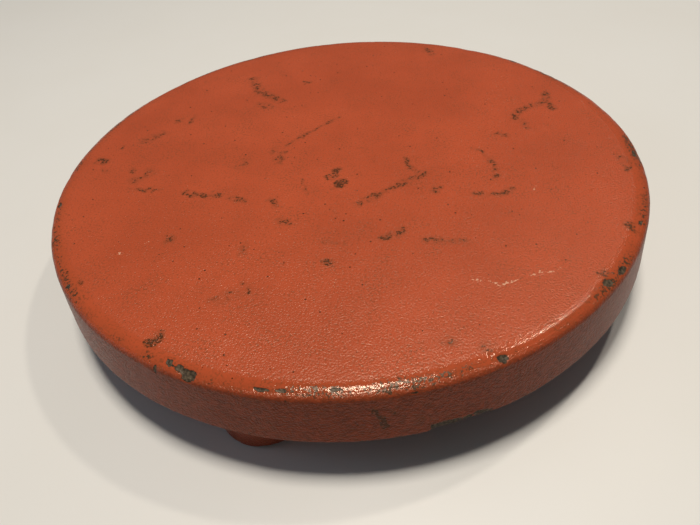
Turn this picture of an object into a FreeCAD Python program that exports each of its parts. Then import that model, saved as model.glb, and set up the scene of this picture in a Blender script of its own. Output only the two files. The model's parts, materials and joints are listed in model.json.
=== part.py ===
"""Low banding wheel: a skirted cast-iron wheel head that turns on a three-armed cast-iron base.

Units are millimetres. The origin is on the table, on the turning axis, and +Z is up.
The front arm of the base points along -Y. Each physical piece is written to its own STEP file.
"""

import FreeCAD, Part

import math
import os

Vector = FreeCAD.Vector

# ---------------------------------------------------------------- driving dimensions
RIM_DIAMETER = 254.0        # wheel head across the bottom of its skirt
TOP_DIAMETER = 250.0        # wheel head across its top, before the edge is rounded
TOTAL_HEIGHT = 40.0         # table to working surface
HEAD_DEPTH = 22.0           # top face to the bottom of the skirt
EDGE_RADIUS = 3.5           # rounding of the working surface's edge
LIP_RADIUS = 1.0            # rounding of cast edges that nobody works on
PLATE_THICKNESS = 8.0       # wheel head's plate
SKIRT_THICKNESS = 6.5       # wheel head's skirt, at its bottom

RIB_COUNT = 6
RIB_THICKNESS = 5.0
RIB_DEPTH = 6.0

ARM_COUNT = 3
FRONT_ARM_ANGLE = -90.0     # degrees from +X
FOOT_CENTRE_RADIUS = 104.5  # turning axis to a foot's centre
FOOT_RADIUS = 17.5          # a foot, at the table
FOOT_HEIGHT = 12.0          # table to a foot's top

BEARING_BORE = 30.0         # thrust ball bearing, 30 x 47 x 11
BEARING_OUTSIDE = 47.0
BEARING_HEIGHT = 11.0
BALL_DIAMETER = 5.556
BALL_COUNT = 16

SPINDLE_DIAMETER = 16.0
RUNNING_CLEARANCE = 0.03    # radial, spindle to bush
CLOSE_GAP = 0.05            # between faces that slide past each other

# ---------------------------------------------------------------- worked-out levels and radii
RIM_RADIUS = RIM_DIAMETER / 2
TOP_RADIUS = TOP_DIAMETER / 2
SKIRT_BOTTOM_Z = TOTAL_HEIGHT - HEAD_DEPTH
PLATE_UNDER_Z = TOTAL_HEIGHT - PLATE_THICKNESS
SKIRT_INNER_RADIUS = RIM_RADIUS - SKIRT_THICKNESS
SKIRT_DRAFT = 2.5           # how much narrower the skirt's inside is at the plate
SKIRT_FILLET = 4.0          # cast fillet between skirt and plate

BOSS_RADIUS = 31.0
BOSS_DRAFT = 1.0
BOSS_FILLET = 3.0
BOSS_Z = PLATE_UNDER_Z - RIB_DEPTH
RIB_EDGE_RADIUS = 1.5
RIB_BURIED_LENGTH = 3.0     # how far a rib runs into the boss
RIB_BURIED_DEPTH = 1.0      # how far a rib runs into the plate
STUB_RADIUS = 10.0          # spindle's upper end, pressed into the boss
STUB_LENGTH = 10.0
STUB_END_GAP = 0.2
SPINDLE_ROUND = 0.6         # rounding of the spindle's turned corners

BEARING_SEAT_Z = BOSS_Z - BEARING_HEIGHT
RACE_GROOVE_DEPTH = 1.1
RACE_GROOVE_RADIUS = 0.53 * BALL_DIAMETER
BALL_PLAY = 0.012           # ball to groove, at its deepest
RACE_THICKNESS = (BEARING_HEIGHT - BALL_DIAMETER) / 2 - BALL_PLAY + RACE_GROOVE_DEPTH
PITCH_RADIUS = (BEARING_BORE + BEARING_OUTSIDE) / 4
BALL_CENTRE_Z = BEARING_SEAT_Z + BEARING_HEIGHT / 2
LOWER_RACE_BORE_RADIUS = BEARING_BORE / 2 + 1.0
RACE_CORNER = 0.5

CAGE_INNER_RADIUS = 15.4
CAGE_OUTER_RADIUS = 23.1
CAGE_THICKNESS = 2.2
CAGE_POCKET_RADIUS = BALL_DIAMETER / 2 + 0.15

HUB_TOP_Z = BEARING_SEAT_Z + 4.0
HUB_TOP_RADIUS = 31.0
HUB_BOTTOM_RADIUS = 36.0
HUB_BOTTOM_Z = 2.0
COLLAR_RADIUS = 14.5        # collar that holds the bush inside the bearing
COLLAR_TOP_Z = BEARING_SEAT_Z + 6.4
SHOULDER_Z = COLLAR_TOP_Z + 1.0
BUSH_RADIUS = 11.0
BUSH_BOTTOM_Z = 7.5
CHAMBER_RADIUS = 18.0       # hollow under the hub for the spindle's keeper
HUB_EDGE_RADIUS = 1.5
COLLAR_EDGE_RADIUS = 0.5
HUB_WALL = 2.0              # metal between the bearing's seat and where an arm may start

FELT_INNER_RADIUS = 24.5
FELT_OUTER_RADIUS = 30.0
FELT_GAP = 0.2

KEEPER_RADIUS = 14.0
KEEPER_THICKNESS = 1.2
KEEPER_CLEARANCE = 0.15
CLIP_THICKNESS = 1.0
CLIP_GROOVE_WIDTH = 1.1
CLIP_GROOVE_RADIUS = 7.6
CLIP_OUTER_RADIUS = 9.6
CLIP_LUG_RADIUS = 1.9
CLIP_LUG_OUTSET = 0.4       # a lug's centre beyond the clip's outer radius
CLIP_LUG_ANGLE = 9.0        # a lug's centre from the clip's opening, in degrees
CLIP_SEAT_GAP = 0.3         # a lug to the bottom of the groove
CLIP_LUG_HOLE_RADIUS = 0.8
CLIP_OPENING_ANGLE = 34.0
SPINDLE_END_Z = 3.9

CAP_THICKNESS = 1.0
CAP_Z = 2.3
CAP_DISH = 0.5
CAP_DISH_RADIUS = 12.6
CAP_SLOPE = 1.0             # width of the step between the cap's dish and its rim
CAP_ROUND = 0.4

FOOT_BOTTOM_Z = 1.0         # cast foot to the table, where the rubber stands proud
FOOT_TOP_RADIUS = 16.5
FOOT_TOP_ROUND = 3.0
FOOT_BOTTOM_ROUND = 0.5
PAD_RADIUS = 12.0
PAD_TOP_Z = 4.0
PAD_ROUND = 0.6
PAD_HOLE_ROUND = 0.2
PAD_SCREW_RADIUS = 2.0
PAD_SCREW_HEAD_RADIUS = 4.0
PAD_SCREW_HEAD_Z = 0.8
PAD_SCREW_TOP_Z = 9.6
PAD_HOLE_CLEARANCE = 0.25
SLOT_WIDTH = 1.0
SLOT_DEPTH = 0.9
SCREW_CHAMFER = 0.4

SET_SCREW_RADIUS = 2.5
SET_SCREW_LENGTH = 8.0
SET_SCREW_ANGLES = {"set_screw_front": -30.0, "set_screw_back": 90.0}   # between ribs
SET_SCREW_Z = (BOSS_Z + PLATE_UNDER_Z) / 2
SOCKET_ACROSS_FLATS = 2.5
SOCKET_DEPTH = 3.0

ARM_ROOT_RADIUS = 20.0
ARM_ROOT_HALF_WIDTH = 12.5
ARM_TIP_HALF_WIDTH = 8.5
ARM_ROOT_TOP_Z = 17.0
ARM_TIP_TOP_Z = 11.0
ARM_BOTTOM_Z = 3.0
ARM_EDGE_RADIUS = 3.0

AXIS = Vector(0, 0, 1)
ORIGIN = Vector(0, 0, 0)


# ---------------------------------------------------------------- helpers
def rounded_outline(corners):
    """A closed wire in the XZ plane through (x, z, radius) corners, each rounded by a tangent arc."""
    count = len(corners)
    points = [Vector(x, 0, z) for x, z, _ in corners]
    ends = []
    arcs = []
    for i, (_, _, radius) in enumerate(corners):
        here = points[i]
        back = (points[i - 1] - here).normalize()
        ahead = (points[(i + 1) % count] - here).normalize()
        if radius <= 0:
            ends.append((here, here))
            arcs.append(None)
            continue
        half_turn = back.getAngle(ahead) / 2
        reach = radius / math.tan(half_turn)
        middle = (back + ahead).normalize() * (radius / math.sin(half_turn) - radius)
        start = here + back * reach
        end = here + ahead * reach
        ends.append((start, end))
        arcs.append(Part.Arc(start, here + middle, end).toShape())
    edges = []
    for i in range(count):
        if arcs[i] is not None:
            edges.append(arcs[i])
        leave = ends[i][1]
        arrive = ends[(i + 1) % count][0]
        if (arrive - leave).Length > 1e-6:
            edges.append(Part.LineSegment(leave, arrive).toShape())
    return Part.Wire(edges)


def turned(corners):
    """A solid of revolution about the turning axis."""
    return Part.Face(rounded_outline(corners)).revolve(ORIGIN, AXIS, 360)


def cylinder(radius, bottom, top):
    """A cylinder on the turning axis between two levels."""
    return Part.makeCylinder(radius, top - bottom, Vector(0, 0, bottom))


def tube(inner, outer, bottom, top):
    """A plain ring on the turning axis between two levels."""
    return cylinder(outer, bottom, top).cut(cylinder(inner, bottom, top))


def spun(shape, degrees):
    """A copy of a shape, turned about the turning axis."""
    copy = shape.copy()
    copy.rotate(ORIGIN, AXIS, degrees)
    return copy


def moved(shape, x, y, z):
    """A copy of a shape, moved."""
    copy = shape.copy()
    copy.translate(Vector(x, y, z))
    return copy


def around(count, first=0.0):
    """Equally spaced angles round the turning axis, in degrees."""
    return [first + 360.0 * i / count for i in range(count)]


# ---------------------------------------------------------------- wheel
def set_screw_hole():
    """The tapped hole through the boss's side, along +X, from the spindle outwards."""
    length = BOSS_RADIUS + 2.0
    return Part.makeCylinder(SET_SCREW_RADIUS, length, Vector(0, 0, SET_SCREW_Z), Vector(1, 0, 0))


def wheel_head():
    """The cast head: flat plate, rounded edge, drafted skirt, boss with a blind bore, and ribs."""
    stub_top_z = BOSS_Z + STUB_LENGTH + STUB_END_GAP
    casting = turned([
        (0, TOTAL_HEIGHT, 0),
        (TOP_RADIUS, TOTAL_HEIGHT, EDGE_RADIUS),
        (RIM_RADIUS, SKIRT_BOTTOM_Z, LIP_RADIUS),
        (SKIRT_INNER_RADIUS, SKIRT_BOTTOM_Z, LIP_RADIUS),
        (SKIRT_INNER_RADIUS - SKIRT_DRAFT, PLATE_UNDER_Z, SKIRT_FILLET),
        (BOSS_RADIUS + BOSS_DRAFT, PLATE_UNDER_Z, BOSS_FILLET),
        (BOSS_RADIUS, BOSS_Z, LIP_RADIUS),
        (STUB_RADIUS, BOSS_Z, 0),
        (STUB_RADIUS, stub_top_z, 0),
        (0, stub_top_z, 0),
    ])
    start = BOSS_RADIUS - RIB_BURIED_LENGTH
    rib_length = SKIRT_INNER_RADIUS - SKIRT_DRAFT / 2 - start
    rib = Part.makeBox(rib_length, RIB_THICKNESS, RIB_DEPTH + RIB_BURIED_DEPTH)
    lower_edges = [e for e in rib.Edges if e.BoundBox.ZMax < 0.01 and e.BoundBox.XLength > 1]
    rib = rib.makeFillet(RIB_EDGE_RADIUS, lower_edges)
    rib = moved(rib, start, -RIB_THICKNESS / 2, BOSS_Z)
    for angle in around(RIB_COUNT):
        casting = casting.fuse(spun(rib, angle))
    for angle in SET_SCREW_ANGLES.values():
        casting = casting.cut(spun(set_screw_hole(), angle))
    return casting.removeSplitter()


def spindle():
    """The turned steel spindle: stub in the head, shoulder inside the upper race, journal, clip groove."""
    journal = SPINDLE_DIAMETER / 2
    groove_top_z = BUSH_BOTTOM_Z - CLOSE_GAP - KEEPER_THICKNESS - CLOSE_GAP
    shape = turned([
        (0, BOSS_Z + STUB_LENGTH, 0),
        (STUB_RADIUS, BOSS_Z + STUB_LENGTH, SPINDLE_ROUND),
        (STUB_RADIUS, BOSS_Z, 0),
        (BEARING_BORE / 2, BOSS_Z, 0),
        (BEARING_BORE / 2, SHOULDER_Z, SPINDLE_ROUND),
        (journal, SHOULDER_Z, SPINDLE_ROUND),
        (journal, SPINDLE_END_Z, SPINDLE_ROUND),
        (0, SPINDLE_END_Z, 0),
    ])
    groove = tube(CLIP_GROOVE_RADIUS, journal + 1, groove_top_z - CLIP_GROOVE_WIDTH, groove_top_z)
    return shape.cut(groove)


def set_screw():
    """A socket set screw along +X, its point on the spindle's stub and its socket facing out."""
    body = Part.makeCylinder(SET_SCREW_RADIUS, SET_SCREW_LENGTH, ORIGIN, Vector(1, 0, 0))
    ends = [e for e in body.Edges if isinstance(e.Curve, Part.Circle)]
    body = body.makeChamfer(SCREW_CHAMFER, ends)
    corner = SOCKET_ACROSS_FLATS / math.sqrt(3)
    ring = [Vector(0, corner * math.cos(math.radians(a)), corner * math.sin(math.radians(a)))
            for a in around(6)]
    socket = Part.Face(Part.makePolygon(ring + ring[:1])).extrude(Vector(SOCKET_DEPTH + 1, 0, 0))
    body = body.cut(moved(socket, SET_SCREW_LENGTH - SOCKET_DEPTH, 0, 0))
    stub = cylinder(STUB_RADIUS, BOSS_Z, BOSS_Z + STUB_LENGTH)
    return moved(body, STUB_RADIUS - SCREW_CHAMFER, 0, SET_SCREW_Z).cut(stub)


def keeper_washer():
    """The washer between the bush's lower end and the clip."""
    top = BUSH_BOTTOM_Z - CLOSE_GAP
    bore = SPINDLE_DIAMETER / 2 + KEEPER_CLEARANCE
    return tube(bore, KEEPER_RADIUS, top - KEEPER_THICKNESS, top)


def retaining_clip():
    """The spring clip in the spindle's groove: an open ring with two drilled lugs."""
    groove_top_z = BUSH_BOTTOM_Z - 2 * CLOSE_GAP - KEEPER_THICKNESS
    top = groove_top_z - (CLIP_GROOVE_WIDTH - CLIP_THICKNESS) / 2
    bottom = top - CLIP_THICKNESS
    ring = tube(CLIP_GROOVE_RADIUS, CLIP_OUTER_RADIUS, bottom, top)
    lug_angle = CLIP_OPENING_ANGLE / 2 + CLIP_LUG_ANGLE
    lug_reach = CLIP_OUTER_RADIUS + CLIP_LUG_OUTSET
    holes = []
    for side in (-1, 1):
        turn = math.radians(side * lug_angle)
        at = Vector(lug_reach * math.cos(turn), lug_reach * math.sin(turn), bottom)
        lug = Part.makeCylinder(CLIP_LUG_RADIUS, CLIP_THICKNESS, at)
        ring = ring.fuse(lug.cut(cylinder(CLIP_GROOVE_RADIUS + CLIP_SEAT_GAP, bottom, top)))
        holes.append(Part.makeCylinder(CLIP_LUG_HOLE_RADIUS, CLIP_THICKNESS, at))
    reach = 2 * CLIP_OUTER_RADIUS
    half = math.radians(CLIP_OPENING_ANGLE / 2)
    wedge = Part.Face(Part.makePolygon([
        Vector(0, 0, bottom),
        Vector(reach, -reach * math.tan(half), bottom),
        Vector(reach, reach * math.tan(half), bottom),
        Vector(0, 0, bottom),
    ])).extrude(Vector(0, 0, CLIP_THICKNESS))
    return ring.cut(wedge).cut(holes[0]).cut(holes[1]).removeSplitter()


# ---------------------------------------------------------------- thrust bearing
def race(inner, bottom, groove_up):
    """A hardened race washer with a ball groove in its upper or lower face."""
    top = bottom + RACE_THICKNESS
    outer = BEARING_OUTSIDE / 2
    body = turned([
        (inner, bottom, RACE_CORNER),
        (outer, bottom, RACE_CORNER),
        (outer, top, RACE_CORNER),
        (inner, top, RACE_CORNER),
    ])
    side = 1 if groove_up else -1
    groove_centre_z = BALL_CENTRE_Z + side * (RACE_GROOVE_RADIUS - BALL_DIAMETER / 2 - BALL_PLAY)
    groove = Part.makeTorus(PITCH_RADIUS, RACE_GROOVE_RADIUS, Vector(0, 0, groove_centre_z))
    return body.cut(groove)


def ball_cage():
    """The flat brass cage that keeps the balls apart."""
    bottom = BALL_CENTRE_Z - CAGE_THICKNESS / 2
    cage = tube(CAGE_INNER_RADIUS, CAGE_OUTER_RADIUS, bottom, bottom + CAGE_THICKNESS)
    pocket = Part.makeCylinder(CAGE_POCKET_RADIUS, CAGE_THICKNESS, Vector(PITCH_RADIUS, 0, bottom))
    for angle in around(BALL_COUNT):
        cage = cage.cut(spun(pocket, angle))
    return cage


def thrust_ball():
    """One steel ball on the pitch circle, on +X."""
    return Part.makeSphere(BALL_DIAMETER / 2, Vector(PITCH_RADIUS, 0, BALL_CENTRE_Z))


# ---------------------------------------------------------------- base
def base_arm():
    """One tapering arm along +X, from inside the hub to the foot."""
    tip = FOOT_CENTRE_RADIUS
    plan = Part.Face(Part.makePolygon([
        Vector(ARM_ROOT_RADIUS, -ARM_ROOT_HALF_WIDTH, ARM_BOTTOM_Z),
        Vector(tip, -ARM_TIP_HALF_WIDTH, ARM_BOTTOM_Z),
        Vector(tip, ARM_TIP_HALF_WIDTH, ARM_BOTTOM_Z),
        Vector(ARM_ROOT_RADIUS, ARM_ROOT_HALF_WIDTH, ARM_BOTTOM_Z),
        Vector(ARM_ROOT_RADIUS, -ARM_ROOT_HALF_WIDTH, ARM_BOTTOM_Z),
    ])).extrude(Vector(0, 0, ARM_ROOT_TOP_Z))
    depth = 2 * ARM_ROOT_HALF_WIDTH
    side = Part.Face(Part.makePolygon([
        Vector(ARM_ROOT_RADIUS, -depth / 2, ARM_BOTTOM_Z),
        Vector(tip, -depth / 2, ARM_BOTTOM_Z),
        Vector(tip, -depth / 2, ARM_TIP_TOP_Z),
        Vector(ARM_ROOT_RADIUS, -depth / 2, ARM_ROOT_TOP_Z),
        Vector(ARM_ROOT_RADIUS, -depth / 2, ARM_BOTTOM_Z),
    ])).extrude(Vector(0, depth, 0))
    arm = plan.common(side)
    long_top_edges = [e for e in arm.Edges
                      if e.BoundBox.XLength > 50 and e.BoundBox.ZMin > ARM_BOTTOM_Z + 1]
    return arm.makeFillet(ARM_EDGE_RADIUS, long_top_edges)


def foot_block():
    """The round cast foot at an arm's end, still without its rubber seat."""
    block = turned([
        (0, FOOT_BOTTOM_Z, 0),
        (FOOT_RADIUS, FOOT_BOTTOM_Z, FOOT_BOTTOM_ROUND),
        (FOOT_TOP_RADIUS, FOOT_HEIGHT, FOOT_TOP_ROUND),
        (0, FOOT_HEIGHT, 0),
    ])
    return moved(block, FOOT_CENTRE_RADIUS, 0, 0)


def foot_cuts():
    """The seat for a rubber pad and the tapped hole for its screw."""
    seat = cylinder(PAD_RADIUS, 0, PAD_TOP_Z)
    tapped = cylinder(PAD_SCREW_RADIUS, 0, PAD_SCREW_TOP_Z)
    return moved(seat.fuse(tapped), FOOT_CENTRE_RADIUS, 0, 0)


def base_casting():
    """The cast base: hub with bearing seat, bush collar and lower chamber, three arms and three feet."""
    bearing_wall = BEARING_OUTSIDE / 2
    casting = turned([
        (BUSH_RADIUS, COLLAR_TOP_Z, 0),
        (COLLAR_RADIUS, COLLAR_TOP_Z, COLLAR_EDGE_RADIUS),
        (COLLAR_RADIUS, BEARING_SEAT_Z, 0),
        (bearing_wall, BEARING_SEAT_Z, 0),
        (bearing_wall, HUB_TOP_Z, 0),
        (HUB_TOP_RADIUS, HUB_TOP_Z, HUB_EDGE_RADIUS),
        (HUB_BOTTOM_RADIUS, HUB_BOTTOM_Z, LIP_RADIUS),
        (CHAMBER_RADIUS, HUB_BOTTOM_Z, 0),
        (CHAMBER_RADIUS, BUSH_BOTTOM_Z, 0),
        (BUSH_RADIUS, BUSH_BOTTOM_Z, 0),
    ])
    core = cylinder(bearing_wall + HUB_WALL, 0, TOTAL_HEIGHT)
    for angle in around(ARM_COUNT, FRONT_ARM_ANGLE):
        limb = base_arm().fuse(foot_block()).cut(foot_cuts()).cut(core)
        casting = casting.fuse(spun(limb, angle))
    return casting.removeSplitter()


def spindle_bush():
    """The bronze bush that the spindle turns in."""
    return tube(SPINDLE_DIAMETER / 2 + RUNNING_CLEARANCE, BUSH_RADIUS, BUSH_BOTTOM_Z, COLLAR_TOP_Z)


def felt_dust_ring():
    """The felt ring that keeps slip and dust out of the bearing."""
    return tube(FELT_INNER_RADIUS, FELT_OUTER_RADIUS, HUB_TOP_Z, BOSS_Z - FELT_GAP)


def bottom_cap():
    """The dished steel cap pressed into the chamber under the hub."""
    step = CAP_DISH_RADIUS + CAP_SLOPE
    lower = CAP_Z + CAP_THICKNESS
    upper = CAP_Z + CAP_DISH
    return turned([
        (0, upper, 0),
        (CAP_DISH_RADIUS, upper, CAP_ROUND),
        (step, CAP_Z, CAP_ROUND),
        (CHAMBER_RADIUS, CAP_Z, 0),
        (CHAMBER_RADIUS, lower, 0),
        (step, lower, CAP_ROUND),
        (CAP_DISH_RADIUS, upper + CAP_THICKNESS, CAP_ROUND),
        (0, upper + CAP_THICKNESS, 0),
    ])


def foot_pad():
    """A round rubber pad in its seat under the foot on +X, with a recess for the screw's head."""
    hole = PAD_SCREW_RADIUS + PAD_HOLE_CLEARANCE
    recess = PAD_SCREW_HEAD_RADIUS + PAD_HOLE_CLEARANCE
    cone_bottom_z = PAD_SCREW_HEAD_Z - PAD_HOLE_CLEARANCE
    pad = turned([
        (hole, PAD_TOP_Z, 0),
        (PAD_RADIUS, PAD_TOP_Z, 0),
        (PAD_RADIUS, 0, PAD_ROUND),
        (recess, 0, PAD_HOLE_ROUND),
        (recess, cone_bottom_z, 0),
        (hole, cone_bottom_z + recess - hole, 0),
    ])
    return moved(pad, FOOT_CENTRE_RADIUS, 0, 0)


def foot_pad_screw():
    """The slotted countersunk screw that holds the pad under the foot on +X."""
    cone_top_z = PAD_SCREW_HEAD_Z + PAD_SCREW_HEAD_RADIUS - PAD_SCREW_RADIUS
    screw = turned([
        (0, PAD_SCREW_HEAD_Z, 0),
        (PAD_SCREW_HEAD_RADIUS, PAD_SCREW_HEAD_Z, 0),
        (PAD_SCREW_RADIUS, cone_top_z, 0),
        (PAD_SCREW_RADIUS, PAD_SCREW_TOP_Z - CLOSE_GAP, SCREW_CHAMFER),
        (0, PAD_SCREW_TOP_Z - CLOSE_GAP, 0),
    ])
    slot = Part.makeBox(2 * PAD_RADIUS, SLOT_WIDTH, PAD_SCREW_HEAD_Z + SLOT_DEPTH)
    slot = moved(slot, -PAD_RADIUS, -SLOT_WIDTH / 2, 0)
    return moved(screw.cut(slot), FOOT_CENTRE_RADIUS, 0, 0)


# ---------------------------------------------------------------- assembly
def all_nodes():
    """Every node's name and solid."""
    nodes = {
        "wheel_head": wheel_head(),
        "spindle": spindle(),
        "keeper_washer": keeper_washer(),
        "retaining_clip": retaining_clip(),
        "upper_race": race(BEARING_BORE / 2, BOSS_Z - RACE_THICKNESS, False),
        "lower_race": race(LOWER_RACE_BORE_RADIUS, BEARING_SEAT_Z, True),
        "ball_cage": ball_cage(),
        "base_casting": base_casting(),
        "spindle_bush": spindle_bush(),
        "felt_dust_ring": felt_dust_ring(),
        "bottom_cap": bottom_cap(),
    }
    for name, angle in SET_SCREW_ANGLES.items():
        nodes[name] = spun(set_screw(), angle)
    for number, angle in enumerate(around(BALL_COUNT), 1):
        nodes[f"thrust_ball_{number:02d}"] = spun(thrust_ball(), angle)
    arm_names = ("front", "right", "left")
    for name, angle in zip(arm_names, around(ARM_COUNT, FRONT_ARM_ANGLE)):
        nodes[f"foot_pad_{name}"] = spun(foot_pad(), angle)
        nodes[f"foot_pad_screw_{name}"] = spun(foot_pad_screw(), angle)
    return nodes


def main():
    """Writes one STEP file per node and says what each holds."""
    os.makedirs("parts", exist_ok=True)
    for name, shape in all_nodes().items():
        assert shape.isValid(), name
        assert len(shape.Solids) == 1, name
        shape.exportStep(f"parts/{name}.step")
        print(f"{name:24s} {shape.Volume:12.1f} mm3")


main()
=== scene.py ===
"""Looks of a low cast-iron banding wheel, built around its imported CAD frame.

Lengths are millimetres and angles degrees unless a name says otherwise. The origin is on the table, on the
turning axis; +Z is up and the front arm of the base points along -Y. A bearing is measured from +X,
anticlockwise seen from above. Meshes are written in metres.
"""

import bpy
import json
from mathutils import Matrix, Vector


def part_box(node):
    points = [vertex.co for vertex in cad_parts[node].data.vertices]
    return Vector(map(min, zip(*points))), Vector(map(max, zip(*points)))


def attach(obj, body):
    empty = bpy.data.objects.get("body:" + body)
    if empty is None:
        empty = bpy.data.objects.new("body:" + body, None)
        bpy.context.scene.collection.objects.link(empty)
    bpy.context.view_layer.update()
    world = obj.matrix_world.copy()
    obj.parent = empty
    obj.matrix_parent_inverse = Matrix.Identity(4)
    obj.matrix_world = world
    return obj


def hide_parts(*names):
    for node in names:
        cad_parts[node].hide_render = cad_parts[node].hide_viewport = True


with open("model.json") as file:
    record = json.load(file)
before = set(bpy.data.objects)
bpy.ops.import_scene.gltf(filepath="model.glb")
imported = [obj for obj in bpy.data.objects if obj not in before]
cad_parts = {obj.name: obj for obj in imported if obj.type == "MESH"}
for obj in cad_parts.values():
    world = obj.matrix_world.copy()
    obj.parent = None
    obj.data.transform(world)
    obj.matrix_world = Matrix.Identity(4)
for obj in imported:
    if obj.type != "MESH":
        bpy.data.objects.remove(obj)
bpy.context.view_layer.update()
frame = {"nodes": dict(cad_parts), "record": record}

import itertools
import json
import logging
import math
from collections.abc import Mapping, Sequence
from dataclasses import dataclass, field
from enum import Enum

import bpy
import numpy as np
from mathutils import Matrix, Vector

Array = np.ndarray
Socket = bpy.types.NodeSocket
MM = 0.001
FULL_TURN = 2 * math.pi
NEAR = 0.01                     # places closer than this are the same
LATTICE_PRIMES = np.array([73856093, 19349663, 83492791])
SEED_PRIME = 40503
MIXING_PRIME = 1274126177

log = logging.getLogger("banding_wheel")


# ---------------------------------------------------------------- shapes worked out as arrays
def smooth_step(value: Array, low: float, high: float) -> Array:
    """Rises from 0 at low to 1 at high along a cubic with level ends."""
    part = np.clip((value - low) / (high - low), 0.0, 1.0)
    return part * part * (3 - 2 * part)


def bell(value: Array, middle: float, width: float) -> Array:
    """A bell curve that is 1 at the middle and 1/e one width away."""
    return np.exp(-((value - middle) / width) ** 2)


def bearing_gap(bearing: Array, middle: float) -> Array:
    """Signed angle in degrees from a middle bearing, between -180 and 180."""
    return (bearing - middle + 180.0) % 360.0 - 180.0


def lattice_values(cell: Array, seed: int) -> Array:
    """A fixed random value from -1 to 1 for each whole-numbered lattice point and seed.

    The point's numbers and the seed are multiplied by large primes, added and mixed, and the lowest twenty
    bits are kept.

    Args:
        cell: whole-numbered lattice points, with their three numbers in the last dimension.
        seed: chooses the random values.

    Returns:
        One value for each point.
    """
    mixed = cell.astype(np.int64) @ LATTICE_PRIMES + seed * SEED_PRIME
    mixed = (mixed ^ (mixed >> 13)) * MIXING_PRIME
    mixed = (mixed ^ (mixed >> 16)) % 2**20
    return mixed / 2**19 - 1.0


def lattice_noise(points: Array, size: float, seed: int, octaves: int = 3) -> Array:
    """Smooth noise between about -1 and 1.

    Random values sit on a cubic lattice and are blended inside each cube by a cubic step. Each further
    octave halves the lattice and the height.

    Args:
        points: places in millimetres, with x, y and z in the last dimension.
        size: lattice spacing of the first octave.
        seed: chooses the random values.
        octaves: how many layers are added.

    Returns:
        One value for each place.
    """
    total = np.zeros(points.shape[:-1])
    for octave in range(octaves):
        scaled = points * (2**octave / size)
        cell = np.floor(scaled)
        part = scaled - cell
        blend = part * part * (3 - 2 * part)
        for corner in itertools.product((0, 1), repeat=3):
            share = np.where(np.array(corner) == 1, blend, 1 - blend).prod(-1)
            total += share * lattice_values(cell + corner, seed + octave) / 2**octave
    return total


@dataclass(frozen=True)
class Mottle:
    """An amount that varies from place to place by smooth noise."""

    middle: float
    spread: float
    size: float
    octaves: int
    seed: int

    def over(self, grid: Array) -> Array:
        """The amount at each place: its middle value, plus its spread times the noise."""
        return self.middle + self.spread * lattice_noise(grid, self.size, self.seed, self.octaves)


@dataclass(frozen=True)
class Corner:
    """A corner of a turned outline."""

    radius: float
    height: float
    rounding: float = 0.0
    step: float = 5.0           # how far apart samples are on the straight run after the corner
    arc_step: float = 0.45      # how far apart they are on the corner's own arc


@dataclass
class Profile:
    """Points along a turned outline and the way out of the solid at each."""

    points: Array
    outward: Array

    @classmethod
    def through(cls, corners: Sequence[Corner], closed: bool = False) -> "Profile":
        """Runs straight lines through corners and rounds each corner with a tangent arc.

        The solid lies to the right of the way the outline runs, in the plane of radius and height.

        Args:
            corners: the outline's corners in order.
            closed: whether the last corner joins the first.

        Returns:
            The sampled outline.
        """
        places = np.array([(c.radius, c.height) for c in corners])
        count = len(corners)
        stretches = []
        for i, corner in enumerate(corners):
            here = places[i]
            ends = not closed and i in (0, count - 1)
            if ends or corner.rounding <= 0:
                stretches.append(here[None])
                continue
            back = places[i - 1] - here
            ahead = places[(i + 1) % count] - here
            back /= np.linalg.norm(back)
            ahead /= np.linalg.norm(ahead)
            half_turn = math.acos(float(np.clip(back @ ahead, -1, 1))) / 2
            middle = (back + ahead) / np.linalg.norm(back + ahead)
            centre = here + middle * corner.rounding / math.sin(half_turn)
            reach = corner.rounding / math.tan(half_turn)
            start = here + back * reach - centre
            finish = here + ahead * reach - centre
            first = math.atan2(start[1], start[0])
            sweep = (math.atan2(finish[1], finish[0]) - first + math.pi) % FULL_TURN - math.pi
            samples = max(3, math.ceil(abs(sweep) * corner.rounding / corner.arc_step) + 1)
            angle = first + np.linspace(0, sweep, samples)
            stretches.append(centre + corner.rounding * np.stack([np.cos(angle), np.sin(angle)], -1))
        pieces = []
        for i, stretch in enumerate(stretches):
            pieces.append(stretch)
            if i == count - 1 and not closed:
                break
            leave, arrive = stretch[-1], stretches[(i + 1) % count][0]
            samples = max(1, math.ceil(np.linalg.norm(arrive - leave) / corners[i].step))
            share = np.linspace(0, 1, samples + 1)[1:-1, None]
            pieces.append(leave + share * (arrive - leave))
        points = np.concatenate(pieces)
        if closed:
            along = np.roll(points, -1, 0) - np.roll(points, 1, 0)
        else:
            along = np.gradient(points, axis=0)
        outward = np.stack([-along[:, 1], along[:, 0]], -1)
        outward /= np.linalg.norm(outward, axis=1, keepdims=True)
        return cls(points, outward)

    def spin(self, columns: int) -> tuple[Array, Array, Array]:
        """Carries the outline round the turning axis: (r cos b, r sin b, z) for each point and bearing b.

        Args:
            columns: how many bearings.

        Returns:
            The grid of places, the grid of outward directions and each column's bearing in degrees.
        """
        bearing = np.arange(columns) * (FULL_TURN / columns)
        across = np.stack([np.cos(bearing), np.sin(bearing)], -1)
        grids = []
        for flat in (self.points, self.outward):
            grid = np.empty((len(flat), columns, 3))
            grid[..., :2] = flat[:, None, :1] * across
            grid[..., 2] = flat[:, None, 1]
            grids.append(grid)
        return grids[0], grids[1], np.degrees(bearing)


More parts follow.
